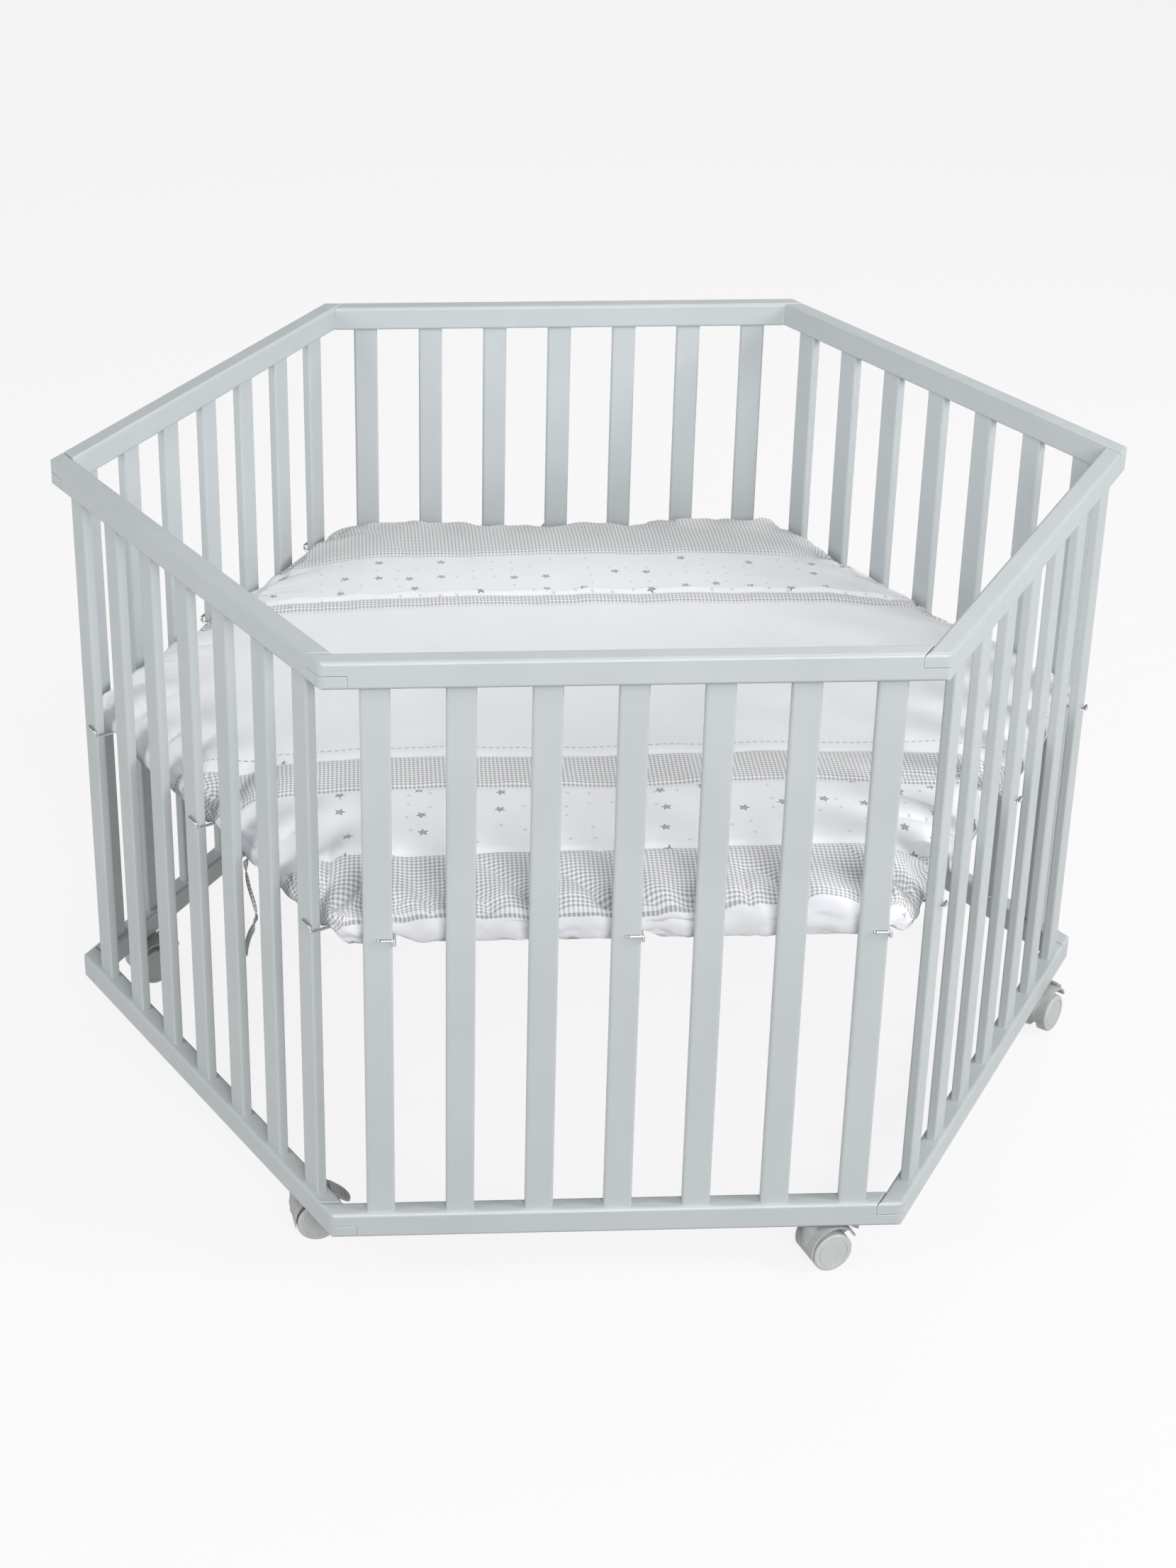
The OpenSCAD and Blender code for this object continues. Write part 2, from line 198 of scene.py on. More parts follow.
class Shader:
    """A short way to write one material's nodes."""

    def __init__(self, name):
        self.material = bpy.data.materials.new(name)
        self.material.use_nodes = True
        self.tree = self.material.node_tree
        self.surface = self.tree.nodes["Principled BSDF"]
        self.place = self.add("ShaderNodeTexCoord").outputs["Object"]

    def add(self, kind, inputs=(), **settings):
        node = self.tree.nodes.new(kind)
        for key, value in settings.items():
            setattr(node, key, value)
        for key, value in dict(inputs).items():
            self.join(node.inputs[key], value)
        return node

    def join(self, socket, value):
        if isinstance(value, bpy.types.NodeSocket):
            self.tree.links.new(value, socket)
        else:
            socket.default_value = value

    def set(self, socket, value):
        self.join(self.surface.inputs[socket], value)

    def math(self, operation, *values):
        node = self.add("ShaderNodeMath", enumerate(values), operation=operation)
        return node.outputs[0]

    def mix(self, amount, first, second):
        node = self.add("ShaderNodeMix", {0: amount, 6: first, 7: second}, data_type="RGBA")
        return node.outputs[2]

    def span(self, value, low, high, to_low=0.0, to_high=1.0):
        node = self.add("ShaderNodeMapRange", {0: value, 1: low, 2: high, 3: to_low, 4: to_high})
        return node.outputs[0]

    def noise(self, scale, detail=3.0, vector=None, roughness=0.5):
        node = self.add("ShaderNodeTexNoise", {"Vector": vector or self.place, "Scale": scale,
                                               "Detail": detail, "Roughness": roughness})
        return node.outputs["Fac"]

    def stretched(self, scale, turn=0.0):
        node = self.add("ShaderNodeMapping", {"Vector": self.place, "Scale": scale,
                                              "Rotation": (0, 0, turn)}, vector_type="TEXTURE")
        return node.outputs[0]

    def edges(self, radius):
        """1 on sharp or tightly rounded edges, 0 on flats."""
        round_normal = self.add("ShaderNodeBevel", {"Radius": radius}, samples=4).outputs[0]
        normal = self.add("ShaderNodeNewGeometry").outputs["Normal"]
        dot = self.add("ShaderNodeVectorMath", {0: round_normal, 1: normal},
                       operation="DOT_PRODUCT").outputs["Value"]
        return self.span(dot, 0.99, 0.8)

    def relief(self, height, distance, strength=1.0):
        node = self.add("ShaderNodeBump", {"Height": height, "Distance": distance,
                                           "Strength": strength})
        self.set("Normal", node.outputs[0])


def grey(level, tint=(1, 1, 1)):
    return (level * tint[0], level * tint[1], level * tint[2], 1)


# ---------------------------------------------------------------- hard materials

PAINT = (0.505, 0.54, 0.552, 1)
PAINT_THIN_AND_HIGHLIGHT = (0.58, 0.61, 0.62, 1)
PAINT_DEEP = (0.48, 0.515, 0.527, 1)


def painted_wood(name, turn, upright):
    """Satin lacquer over planed wood: faint grain telegraphs through, and the edges are lighter,
    partly paint worn thin, partly a painted highlight along the rounded edges.
    """
    shader = Shader(name)
    long_way = 0.16
    across = 0.006
    scale = (across, across, long_way) if upright else (long_way, across, across)
    grain_place = shader.stretched(scale, turn)
    grain = shader.noise(1.0, 4.0, grain_place, 0.6)
    cloud = shader.noise(7.0, 2.0)
    colour = shader.mix(shader.span(cloud, 0.35, 0.65), PAINT_DEEP, PAINT)
    colour = shader.mix(shader.span(grain, 0.55, 0.75, 0.0, 0.35), colour, PAINT_DEEP)
    # Lighter edges: partly worn thin paint, partly a painted highlight along the rounded arrises.
    edge_wear_and_highlight = shader.math("MULTIPLY", shader.edges(2.2 * MM), 0.8)
    colour = shader.mix(edge_wear_and_highlight, colour, PAINT_THIN_AND_HIGHLIGHT)
    shader.set("Base Color", colour)
    shader.set("Roughness", shader.span(shader.noise(60.0), 0.3, 0.7, 0.36, 0.5))
    shader.set("Coat Weight", 0.15)
    shader.set("Coat Roughness", 0.25)
    orange_peel = shader.noise(420.0, 2.0)
    height = shader.math("ADD", shader.math("MULTIPLY", grain, 0.8), orange_peel)
    shader.relief(height, 0.1 * MM, 0.5)
    return shader.material


def chrome_wire():
    shader = Shader("hook_chrome")
    smudge = shader.noise(90.0, 3.0)
    shader.set("Base Color", (0.60, 0.61, 0.62, 1))
    shader.set("Metallic", 1.0)
    shader.set("Roughness", shader.span(smudge, 0.3, 0.7, 0.12, 0.26))
    shader.relief(shader.noise(900.0, 2.0), 0.05 * MM, 0.3)
    return shader.material


def brushed_steel(name, colour):
    shader = Shader(name)
    streak = shader.noise(1.0, 3.0, shader.stretched((0.004, 0.0004, 0.004)))
    shader.set("Base Color", shader.mix(shader.span(streak, 0.4, 0.6), colour,
                                        tuple(0.8 * c for c in colour[:3]) + (1,)))
    shader.set("Metallic", 1.0)
    shader.set("Roughness", shader.span(streak, 0.3, 0.7, 0.25, 0.4))
    shader.relief(streak, 0.05 * MM, 0.4)
    return shader.material


def moulded_plastic(name, level, grain_depth, gloss):
    """Grey moulded plastic with a fine spark-eroded grain and slightly rubbed edges."""
    shader = Shader(name)
    tint = (0.965, 1.0, 0.985)
    cloud = shader.noise(35.0, 3.0)
    colour = shader.mix(shader.span(cloud, 0.35, 0.65), grey(0.92 * level, tint),
                        grey(level, tint))
    rubbed = shader.math("MULTIPLY", shader.edges(1.2 * MM), 0.55)
    colour = shader.mix(rubbed, colour, grey(min(1.0, 1.35 * level), tint))
    shader.set("Base Color", colour)
    shader.set("Roughness", shader.span(shader.noise(500.0), 0.3, 0.7, gloss, gloss + 0.14))
    shader.relief(shader.noise(1900.0, 3.0), grain_depth, 0.6)
    return shader.material


def plywood():
    shader = Shader("birch_plywood")
    grain = shader.noise(1.0, 5.0, shader.stretched((0.006, 0.22, 0.006)), 0.65)
    pores = shader.noise(1.0, 3.0, shader.stretched((0.0012, 0.02, 0.0012)), 0.7)
    colour = shader.mix(shader.span(grain, 0.3, 0.7), (0.60, 0.54, 0.46, 1), (0.70, 0.66, 0.60, 1))
    colour = shader.mix(shader.span(pores, 0.62, 0.72, 0.0, 0.5), colour, (0.45, 0.38, 0.31, 1))
    shader.set("Base Color", colour)
    shader.set("Roughness", shader.span(grain, 0.3, 0.7, 0.5, 0.65))
    shader.relief(pores, 0.12 * MM, 0.6)
    return shader.material


# ---------------------------------------------------------------- fabric material

WHITE = (0.80, 0.81, 0.845, 1)
GINGHAM_MID = (0.61, 0.61, 0.62, 1)
GINGHAM_DARK = (0.36, 0.36, 0.36, 1)
PRINT_GREY = (0.36, 0.37, 0.37, 1)
PRINT_LINE = (0.16, 0.17, 0.18, 1)
# Bands of check across the cloth, from the front edge to the back, in millimetres.
CHECK_BANDS = ((-514, -416), (-280, -207), (194, 222), (356, 900))
STAR_BANDS = ((-416, -280), (222, 356))
DASHED_LINE_Y = -190
CHECK_PERIOD = 4.8
THREAD_PERIOD = 0.8


def any_band(shader, y, bands):
    total = 0.0
    for low, high in bands:
        inside = shader.math("MULTIPLY", shader.math("GREATER_THAN", y, float(low)),
                             shader.math("LESS_THAN", y, float(high)))
        total = shader.math("ADD", inside, total)
    return total


def star_field(shader, x, y, cell, size, share, seed):
    """(fill, outline) masks of small five-pointed stars scattered one to a cell."""
    cx = shader.math("DIVIDE", shader.math("ADD", x, 3.7 * seed), cell)
    cy = shader.math("DIVIDE", shader.math("ADD", y, 5.1 * seed), cell)
    where = shader.add("ShaderNodeCombineXYZ", {0: shader.math("FLOOR", cx),
                                                1: shader.math("FLOOR", cy), 2: seed}).outputs[0]
    random = shader.add("ShaderNodeTexWhiteNoise", {"Vector": where}, noise_dimensions="3D")
    parts = shader.add("ShaderNodeSeparateXYZ", {0: random.outputs["Color"]}).outputs
    px = shader.math("SUBTRACT", shader.math("FRACT", cx), shader.span(parts[0], 0, 1, 0.3, 0.7))
    py = shader.math("SUBTRACT", shader.math("FRACT", cy), shader.span(parts[1], 0, 1, 0.3, 0.7))
    angle = shader.math("ADD", shader.math("ARCTAN2", py, px),
                        shader.math("MULTIPLY", parts[2], 6.28))
    fifth = math.radians(72)
    arm = shader.math("PINGPONG", angle, fifth / 2)
    reach = shader.math("MULTIPLY", shader.math("SQRT", shader.math(
        "ADD", shader.math("MULTIPLY", px, px), shader.math("MULTIPLY", py, py))), cell / size)
    inner = 0.45
    edge = shader.math("DIVIDE", inner * math.sin(fifth / 2), shader.math(
        "ADD", shader.math("SINE", arm),
        shader.math("MULTIPLY", inner, shader.math(
            "SINE", shader.math("SUBTRACT", fifth / 2, arm)))))
    shown = shader.math("LESS_THAN", random.outputs["Value"], share)
    inside = shader.math("MULTIPLY", shader.math("LESS_THAN", reach, edge), shown)
    core = shader.math("LESS_THAN", shader.math("MULTIPLY", reach, 1.45), edge)
    return inside, shader.math("MULTIPLY", inside, shader.math("SUBTRACT", 1.0, core))


def weave(shader, x, y):
    """Plain weave: a height field of crossing threads."""
    turn = 2 * math.pi / THREAD_PERIOD
    warp = shader.math("SINE", shader.math("MULTIPLY", x, turn))
    weft = shader.math("SINE", shader.math("MULTIPLY", y, turn))
    return shader.math("MULTIPLY", warp, weft)


def printed_cotton(name, all_check=False):
    """White cotton with check bands and scattered stars, laid out in the cloth's own plane."""
    shader = Shader(name)
    cloth = shader.add("ShaderNodeAttribute", attribute_name="cloth").outputs["Vector"]
    x, y, _ = shader.add("ShaderNodeSeparateXYZ", {0: cloth}).outputs
    stripe_x = shader.math("LESS_THAN", shader.math("FRACT", shader.math(
        "DIVIDE", x, CHECK_PERIOD)), 0.5)
    stripe_y = shader.math("LESS_THAN", shader.math("FRACT", shader.math(
        "DIVIDE", y, CHECK_PERIOD)), 0.5)
    either = shader.math("MAXIMUM", stripe_x, stripe_y)
    both = shader.math("MULTIPLY", stripe_x, stripe_y)
    check = shader.mix(either, WHITE, GINGHAM_MID)
    check = shader.mix(both, check, GINGHAM_DARK)
    colour = check
    if not all_check:
        colour = WHITE
        fill, line = star_field(shader, x, y, 44.0, 6.8, 0.55, 1.0)
        small_fill, _ = star_field(shader, x, y, 25.0, 3.2, 0.5, 2.0)
        stars = any_band(shader, y, STAR_BANDS)
        colour = shader.mix(shader.math("MULTIPLY", small_fill, stars), colour, GINGHAM_MID)
        colour = shader.mix(shader.math("MULTIPLY", fill, stars), colour, PRINT_GREY)
        colour = shader.mix(shader.math("MULTIPLY", line, stars), colour, PRINT_LINE)
        colour = shader.mix(any_band(shader, y, CHECK_BANDS), colour, check)
        dash = shader.math("LESS_THAN", shader.math("FRACT", shader.math("DIVIDE", x, 8.0)), 0.6)
        on_line = any_band(shader, y, ((DASHED_LINE_Y - 0.9, DASHED_LINE_Y + 0.9),))
        colour = shader.mix(shader.math("MULTIPLY", dash, on_line), colour, PRINT_GREY)
    slub = shader.noise(1.0, 3.0, shader.stretched((0.002, 0.03, 0.03)), 0.6)
    colour = shader.mix(shader.span(slub, 0.5, 0.8, 0.0, 0.12), colour, GINGHAM_MID)
    shader.set("Base Color", colour)
    shader.set("Roughness", shader.span(slub, 0.3, 0.7, 0.82, 0.95))
    shader.set("Sheen Weight", 0.35)
    shader.set("Sheen Roughness", 0.5)
    shader.set("Specular IOR Level", 0.25)
    threads = weave(shader, x, y)
    crumple = shader.noise(55.0, 4.0, roughness=0.6)
    height = shader.math("ADD", shader.math("MULTIPLY", threads, 0.12),
                         shader.math("MULTIPLY", crumple, 1.0))
    shader.relief(height, 0.9 * MM, 0.55)
    return shader.material


# ---------------------------------------------------------------- padded insert

CELLS = 84
# The flat lattice on top ends RIM inside the insert's outside, and the skirt's rings go on.
RIM = 17 * MM
TOP_APOTHEM = INSERT_APOTHEM - RIM
CORNER_ROUNDING = 30 * MM
CROWN = 18 * MM
# The skirt's section, as (in from the outside, down from the pad's edge), in millimetres.
SKIRT_RINGS = ((12.5, 1.4), (8.2, 3.6), (4.6, 6.6), (1.9, 10.4), (0.6, 14.6), (0.2, 19.0),
               (0.2, 23.4), (0.4, 27.8), (0.9, 31.6), (1.9, 34.0), (3.0, 34.6), (3.9, 33.0),
               (4.1, 27.0), (4.1, 19.0), (4.1, 10.6))
# From this ring on the cloth lies inside the hem, and the simulation holds it still.
FIRST_HELD_RING = 12
PAD_EDGE_Z = INSERT_HIGH.z - CROWN
UNDER_Z = BOARD_TOP_Z + 0.4 * MM
# Millimetres of cloth between the lattice and the skirt, and used by each millimetre of drop.
SKIRT_CLOTH = 8.5
CLOTH_PER_DROP = 0.9
# Half the width, and the height, that the hem rides up at a hook's wire.
HOOK_NOTCH = 15 * MM
HOOK_LIFT = 14 * MM
SIM_FRAMES = 20
# The furthest that the simulation may move a vertex, and the share of that lost on top.
SIM_CAP = 14 * MM
TOP_CAP_LOSS = 0.4
# The heights between which the simulation's slats stand, past the insert on both sides.
COLLIDER_SPAN = (0.38, 0.50)
# How far the printed bands wander from straight.
BAND_DRIFT = 7 * MM
# Seams across the cloth, in metres from the middle.
SEAMS_Y = (-0.416, -0.280, -0.207, 0.194, 0.222, 0.356)
SEAM_DEPTH = 3.2 * MM
SEAM_WIDTH = 5 * MM
PUCKER_HEIGHT = 2.2 * MM
PUCKER_REACH = 26 * MM
# A raised line beside the back seam, which wavers as it goes across.
PIPING_Y = 0.230
PIPING_HEIGHT = 1.9 * MM
PIPING_WIDTH = 3 * MM
PIPING_WAVER = 2.5 * MM
# Folds in from the rim: how far they reach, and how high and deep they go.
FOLD_REACH = 130 * MM
FOLD_HEIGHT = 8.5 * MM
CREASE_DEPTH = 10 * MM
# Slack in the skirt: its deepest hollow, and the most that its hem rides up.
HOLLOW_DEPTH = 7 * MM
HEM_SLACK = 9 * MM


def lattice_corner(k):
    turn = math.radians(60 * k)
    return Vector((math.cos(turn), math.sin(turn), 0))


def round_corners(point):
    """Bends a point near one of the hexagon's corners on to arcs about a centre inside it."""
    centre_radius = (INSERT_APOTHEM - CORNER_ROUNDING) / math.cos(math.radians(30))
    for k in range(6):
        centre = lattice_corner(k) * centre_radius
        away = Vector((point.x, point.y, 0)) - centre
        sides = [away.dot(Vector((math.cos(a), math.sin(a), 0)))
                 for a in (math.radians(60 * k - 30), math.radians(60 * k + 30))]
        if away.length > 1e-9 and away.dot(lattice_corner(k)) > away.length * math.cos(
                math.radians(30)):
            return centre + away * (max(sides) / away.length) + Vector((0, 0, point.z))
    return point


def hook_lift(u):
    """How much the skirt's hem rides up where it passes over a hook's wire, 0 to 1."""
    return max(bump(u - slat_u(i) - HOOK_WIRE_U, HOOK_NOTCH) for i in HOOK_SLATS)


def pad_top_z(point):
    """The pad's crowned upper face."""
    share = min(1.0, point.dot(PANEL_OUT[nearest_panel(point)]) / TOP_APOTHEM)
    return PAD_EDGE_Z + CROWN * (1 - share ** 7)


def insert_grid():
    """The insert's lattice top, skirt and underside.

    Returns its vertices, faces and flat cloth places, the vertices that the board holds, and the
    loop that closes it underneath.
    """
    points, faces, flat, index = [], [], [], {}
    radius = TOP_APOTHEM / math.cos(math.radians(30))

    def lattice_vertex(at):
        key = (round(at.x * 1e5), round(at.y * 1e5))
        if key not in index:
            index[key] = len(points)
            points.append(round_corners(Vector((at.x, at.y, pad_top_z(at)))))
            flat.append(Vector((at.x, at.y, 0)))
        return index[key]

    for first, second in ((0, 2), (2, 4), (4, 0)):
        step_a = lattice_corner(first) * radius / CELLS
        step_b = lattice_corner(second) * radius / CELLS
        for a in range(CELLS):
            for b in range(CELLS):
                at = step_a * a + step_b * b
                faces.append([lattice_vertex(p)
                              for p in (at, at + step_a, at + step_a + step_b, at + step_b)])

    ring, rim = [], []
    for k in range(6):
        start, end = lattice_corner(k) * radius, lattice_corner(k + 1) * radius
        for j in range(CELLS):
            at = start.lerp(end, j / CELLS)
            ring.append(lattice_vertex(at))
            # Side k of the lattice, between corners k and k + 1, is panel (k + 2) % 6.
            panel = (k + 2) % 6
            out = PANEL_OUT[panel]
            if j == 0:
                before = PANEL_OUT[(panel + 5) % 6]
                out = (out + before) / (1 + out.dot(before))
            rim.append((at, out, at.dot(PANEL_ALONG[panel])))
    rings = [ring]
    for inset, drop in SKIRT_RINGS:
        new_ring = []
        for at, out, u in rim:
            reach = INSERT_APOTHEM - inset * MM - TOP_APOTHEM
            z = PAD_EDGE_Z - drop * MM
            lift = hook_lift(u) * smooth(drop, 20, 40) * HOOK_LIFT
            point = round_corners(at + out * reach + Vector((0, 0, z + lift)))
            new_ring.append(len(points))
            points.append(point)
            flat.append(at + out.normalized() * (SKIRT_CLOTH + CLOTH_PER_DROP * drop) * MM)
        rings.append(new_ring)
    under = []
    for at, _, _ in rim:
        under.append(len(points))
        points.append(Vector((at.x * 0.98, at.y * 0.98, UNDER_Z)))
        flat.append(at.copy())
    rings.append(under)
    count = len(ring)
    for outer, inner in zip(rings[:-1], rings[1:]):
        for j in range(count):
            after = (j + 1) % count
            faces.append([outer[j], inner[j], inner[after], outer[after]])
    held = [v for r in rings[FIRST_HELD_RING:] for v in r]
    return points, faces, flat, held, list(reversed(under))


def slat_colliders():
    """One plain box at each slat, only for the simulation."""
    points, faces = [], []
    half = SLAT_WIDTH / 2
    outer, inner = 6 * MM, APOTHEM - SLAT_INNER
    for k in range(6):
        for i in range(SLAT_COUNT):
            base = len(points)
            for z in COLLIDER_SPAN:
                for u, inward in ((-half, outer), (half, outer), (half, inner), (-half, inner)):
                    points.append(panel_point(k, slat_u(i) + u, inward, z))
            for a, b, c, d in ((0, 3, 2, 1), (4, 5, 6, 7), (0, 1, 5, 4), (1, 2, 6, 5),
                               (2, 3, 7, 6), (3, 0, 4, 7)):
                faces.append([base + a, base + b, base + c, base + d])
    return mesh_object("slat_colliders", points, faces)


def simulate(points, faces, held):
    """Blows the padding up against the slats, and returns where each vertex went."""
    scene = bpy.context.scene
    piece = mesh_object("insert_simulation", points, faces)
    colliders = slat_colliders()
    colliders.modifiers.new("collision", "COLLISION")
    colliders.collision.thickness_outer = 1.0 * MM
    group = piece.vertex_groups.new(name="held")
    group.add(held, 1.0, "REPLACE")
    cloth = piece.modifiers.new("cloth", "CLOTH")
    cloth.settings.quality = 5
    cloth.settings.mass = 0.25
    cloth.settings.tension_stiffness = 12
    cloth.settings.compression_stiffness = 12
    cloth.settings.shear_stiffness = 4
    cloth.settings.bending_stiffness = 0.3
    cloth.settings.use_pressure = True
    cloth.settings.uniform_pressure_force = 4.0
    cloth.settings.shrink_min = -0.06
    cloth.settings.effector_weights.gravity = 0
    cloth.settings.vertex_group_mass = "held"
    cloth.collision_settings.use_collision = True
    cloth.collision_settings.distance_min = 1.5 * MM
    cloth.collision_settings.use_self_collision = False
    cloth.point_cache.frame_start = 1
    cloth.point_cache.frame_end = SIM_FRAMES
    for number in range(1, SIM_FRAMES + 1):
        scene.frame_set(number)
    result = piece.evaluated_get(bpy.context.evaluated_depsgraph_get())
    moved = [v.co.copy() for v in result.data.vertices]
    scene.frame_set(1)
    bpy.data.objects.remove(piece)
    bpy.data.objects.remove(colliders)
    return moved


def close_underside(mesh):
    """Fills the one open loop, which lies flat on the board."""
    work = bmesh.new()
    work.from_mesh(mesh)
    loop = [edge for edge in work.edges if edge.is_boundary]
    bmesh.ops.holes_fill(work, edges=loop, sides=0)
    bmesh.ops.recalc_face_normals(work, faces=work.faces)
    work.to_mesh(mesh)
    work.free()


def capped(rest, moved):
    """The moved point, held to the cap, to less on the upper face, and off the board's edge."""
    step = moved - rest
    for out in PANEL_OUT:
        if rest.dot(out) > TOP_APOTHEM:
            step -= out * min(0.0, step.dot(out))
    on_top = smooth(rest.z, PAD_EDGE_Z - 4 * MM, PAD_EDGE_Z + 6 * MM)
    cap = SIM_CAP * (1 - TOP_CAP_LOSS * on_top)
    if step.length > cap:
        step *= cap / step.length
    return rest + step


def rim_folds(point):
    """Folds that run in from the pad's rim, where the wadding is squeezed between the slats."""
    k = nearest_panel(point)
    along = point.dot(PANEL_ALONG[k])
    depth = INSERT_APOTHEM - point.dot(PANEL_OUT[k])
    strength = 1 - smooth(depth, 15 * MM, FOLD_REACH)
    # The back is smoother than the front.
    strength *= 1 - 0.6 * smooth(point.y, 0.0, 0.3)
    broad = noise.noise(Vector((along * 17, depth * 6, 5.0 * k)))
    crease = 1 - abs(noise.noise(Vector((along * 15 + depth * 9, depth * 5, 7.0 * k + 2))))
    return strength * (FOLD_HEIGHT * broad - CREASE_DEPTH * crease ** 7 + 1.5 * MM)


def skirt_rumples(point):
    """Slack in the skirt: hollows in its face, and a hem that rides up in places."""
    k = nearest_panel(point)
    if point.dot(PANEL_OUT[k]) < INSERT_APOTHEM - 2.5 * MM:
        return Vector((0, 0, 0))
    along = point.dot(PANEL_ALONG[k])
    hollow = max(0.0, noise.noise(Vector((along * 42, point.z * 55, 3.0 * k + 1))))
    lift = max(0.0, noise.noise(Vector((along * 38, 4.4, 3.0 * k + 1))))
    below_rim = 1 - smooth(point.z, PAD_EDGE_Z - 12 * MM, PAD_EDGE_Z)
    at_hem = 1 - smooth(point.z, INSERT_LOW.z + 2 * MM, INSERT_LOW.z + 18 * MM)
    return (PANEL_OUT[k] * (-HOLLOW_DEPTH * hollow * below_rim)
            + Vector((0, 0, HEM_SLACK * lift * at_hem)))


def fabric_detail(point, flat):
    """Seam grooves, puckers along them, and the slow unevenness of loose wadding."""
    on_top = smooth(point.z, PAD_EDGE_Z - 6 * MM, PAD_EDGE_Z + 3 * MM)
    rise = 0.0
    for seam in SEAMS_Y:
        away = flat.y - seam
        groove = bump(away, SEAM_WIDTH)
        rise -= SEAM_DEPTH * groove
        ripple = noise.noise(Vector((flat.x * 34, seam * 50, 3.1)))
        rise += PUCKER_HEIGHT * ripple * bump(away, PUCKER_REACH) * (1 - groove)
    off_piping = flat.y - PIPING_Y - PIPING_WAVER * math.sin(flat.x * 85)
    rise += PIPING_HEIGHT * bump(off_piping, PIPING_WIDTH)
    slow = noise.noise(Vector((flat.x * 6, flat.y * 6, 0.7)))
    middle = noise.noise(Vector((flat.x * 17, flat.y * 13, 5.2)))
    rise += (3.4 * slow + 1.6 * middle) * MM
    return point + skirt_rumples(point) + Vector((0, 0, (rise + rim_folds(point)) * on_top))


def add_insert():
    """The padded cover: a grid, blown up by the simulation, made finer, then given its detail."""
    points, faces, flat, held, underside = insert_grid()
    piece = mesh_object("insert_cover", points, faces)
    for place in flat:
        place.y += BAND_DRIFT * noise.noise(Vector((place.x * 3.2, place.y * 1.5, 2.2)))
    set_cloth_places(piece.data, [place / MM for place in flat])
    moved = simulate(points, faces + [underside], held)
    fixed = set(held)
    for number, vertex in enumerate(piece.data.vertices):
        if number not in fixed:
            vertex.co = capped(points[number], moved[number])
    piece.data.update()
    finer = piece.modifiers.new("finer", "SUBSURF")
    finer.levels = finer.render_levels = 1
    result = bpy.data.meshes.new_from_object(
        piece.evaluated_get(bpy.context.evaluated_depsgraph_get()))
    piece.modifiers.clear()
    piece.data = result
    places = [Vector(item.vector) * MM for item in result.attributes["cloth"].data]
    for vertex, place in zip(result.vertices, places):
        vertex.co = fabric_detail(vertex.co, place)
    close_underside(result)
    shade_smooth(result)
    result.materials.clear()
    result.materials.append(printed_cotton("printed_cotton"))
    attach(piece, "base")
    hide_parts("insert")
    return piece


# ---------------------------------------------------------------- hanging tie

TIE_PANEL = SIDES.index("front_left")
# The route in that panel's own frame: along, inward, height, in millimetres.
TIE_ROUTE = ((88, 28.4, 420), (88, 28.4, 412), (89.5, 28, 403), (93, 27.4, 394.5),
             (98, 27, 386.5), (103.5, 27, 379), (108, 27, 371), (110, 27, 362), (109, 27, 353),
             (105.5, 27, 344.5), (100.5, 27, 336.5), (95, 27, 328.5), (90, 27.4, 320),
             (85.5, 27.8, 311), (82, 28, 302), (80, 28, 293))
TIE_WIDTH = 8 * MM
TIE_THICK = 1.3 * MM
TIE_FINE = 4


def tie_route():
    """The route's points with TIE_FINE steps of a smooth curve between each two."""
    knots = [panel_point(TIE_PANEL, *(c * MM for c in p)) for p in TIE_ROUTE]
    fine = []
    for i in range(len(knots) - 1):
        a, b = knots[max(i - 1, 0)], knots[i]
        c, d = knots[i + 1], knots[min(i + 2, len(knots) - 1)]
        for n in range(TIE_FINE):
            t = n / TIE_FINE
            fine.append(0.5 * (2 * b + (c - a) * t + (2 * a - 5 * b + 4 * c - d) * t ** 2
                               + (3 * b - a - 3 * c + d) * t ** 3))
    return fine + [knots[-1]]


def tie_twist(share):
    """The ribbon's turn about its own length: nearly edge-on at the top and at the elbow."""
    return math.radians(70 * bump(share - 0.03, 0.08) + 65 * bump(share - 0.53, 0.07))


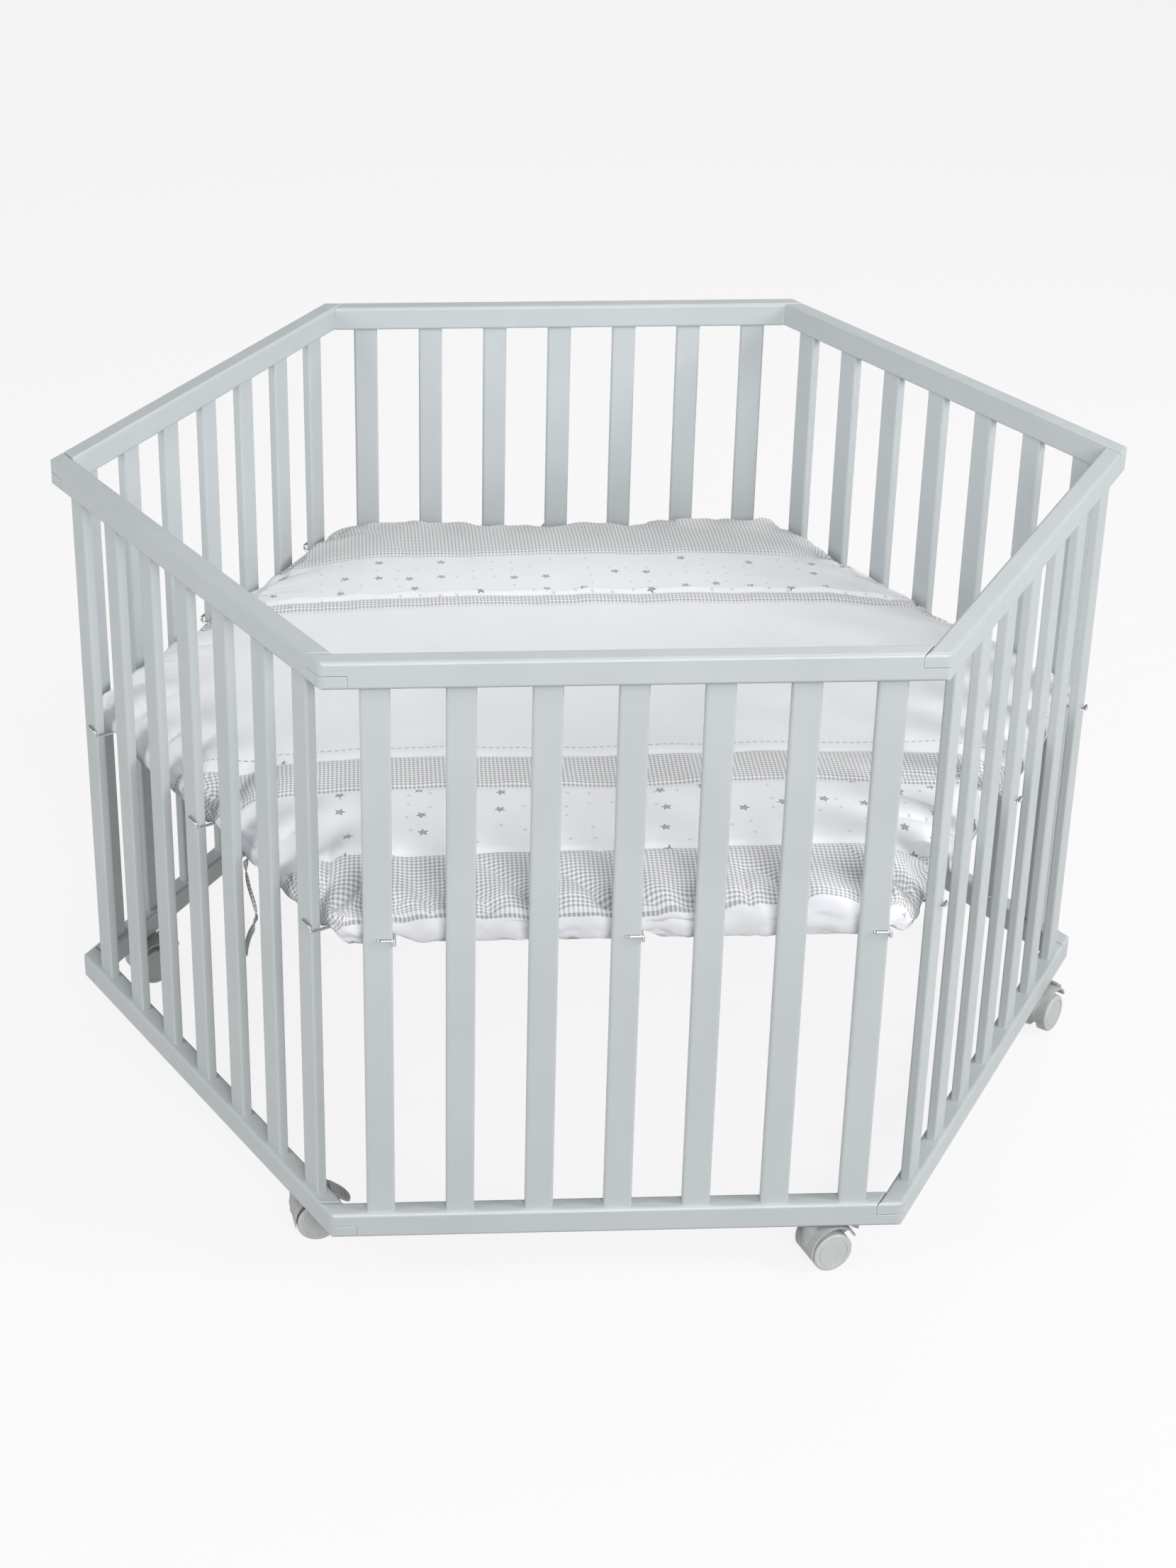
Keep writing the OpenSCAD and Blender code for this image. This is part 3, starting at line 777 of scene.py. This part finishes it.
def add_tie():
    """The loose end of the tie: a flat ribbon swept along its route."""
    path = tie_route()
    inward = -PANEL_OUT[TIE_PANEL]
    # Across the ribbon and through it: a flat section with rounded selvedges.
    section = ((-0.5, 0), (-0.46, 0.5), (-0.2, 0.42), (0.2, 0.42), (0.46, 0.5), (0.5, 0),
               (0.46, -0.5), (0.2, -0.42), (-0.2, -0.42), (-0.46, -0.5))
    points, faces, flat = [], [], []
    travelled = 0.0
    for i, at in enumerate(path):
        ahead = (path[min(i + 1, len(path) - 1)] - path[max(i - 1, 0)]).normalized()
        across = inward.cross(ahead).normalized()
        across = Matrix.Rotation(tie_twist(i / (len(path) - 1)), 3, ahead) @ across
        through = ahead.cross(across)
        if i:
            travelled += (at - path[i - 1]).length
        for a, b in section:
            points.append(at + across * (a * TIE_WIDTH) + through * (b * TIE_THICK))
            flat.append((a * TIE_WIDTH / MM, travelled / MM, 0))
    count = len(section)
    for i in range(len(path) - 1):
        for j in range(count):
            after = (j + 1) % count
            faces.append([i * count + j, i * count + after,
                          (i + 1) * count + after, (i + 1) * count + j])
    faces.append(list(reversed(range(count))))
    faces.append([len(points) - count + j for j in range(count)])
    piece = mesh_object("insert_tie_ribbon", points, faces)
    set_cloth_places(piece.data, flat)
    shade_smooth(piece.data)
    piece.data.materials.append(printed_cotton("check_ribbon", all_check=True))
    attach(piece, "base")
    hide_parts("insert_tie")
    return piece


# ---------------------------------------------------------------- CAD nodes' finishes


def finish_node(name, material):
    mesh = NODES[name].data
    mesh.materials.clear()
    mesh.materials.append(material)
    shade_smooth(mesh)
    mesh.set_sharp_from_angle(angle=math.radians(32))


def dress_frame():
    slat_paint = painted_wood("paint_slats", 0, True)
    rail_paint = [painted_wood(f"paint_rails_{turn}", math.radians(turn), False)
                  for turn in (0, 60, 120)]
    for k, side in enumerate(SIDES):
        finish_node(f"{side}_slats", slat_paint)
        for rail in ("top_rail", "bottom_rail"):
            finish_node(f"{side}_{rail}", rail_paint[k % 3])
    steel = brushed_steel("zinc_steel", (0.62, 0.63, 0.64, 1))
    finish_node("corner_bolts", steel)
    finish_node("cleat_screws", steel)
    finish_node("castor_sockets", steel)
    finish_node("corner_inserts", brushed_steel("brass_insert", (0.72, 0.55, 0.25, 1)))
    finish_node("base_hooks", chrome_wire())
    board = plywood()
    for name in ("base_board_left", "base_board_right", "base_cleat"):
        finish_node(name, board)
    return steel


def dress_castors(steel):
    # The hood's grey, darker than the wheel's, is partly painted shade for the shadow the hood
    # sits in.
    hood = moulded_plastic("castor_hood_grey", 0.42, 0.10 * MM, 0.36)
    wheel = moulded_plastic("castor_wheel_grey", 0.54, 0.06 * MM, 0.42)
    pedal = moulded_plastic("castor_pedal_grey", 0.40, 0.12 * MM, 0.40)
    for side in SIDES:
        finish_node(f"castor_{side}_hood", hood)
        finish_node(f"castor_{side}_wheel_left", wheel)
        finish_node(f"castor_{side}_wheel_right", wheel)
        finish_node(f"castor_{side}_pedal", pedal)
        finish_node(f"castor_{side}_pins", steel)


add_camera()
add_tie()
add_studio()
add_floor()
dress_castors(dress_frame())
add_insert()
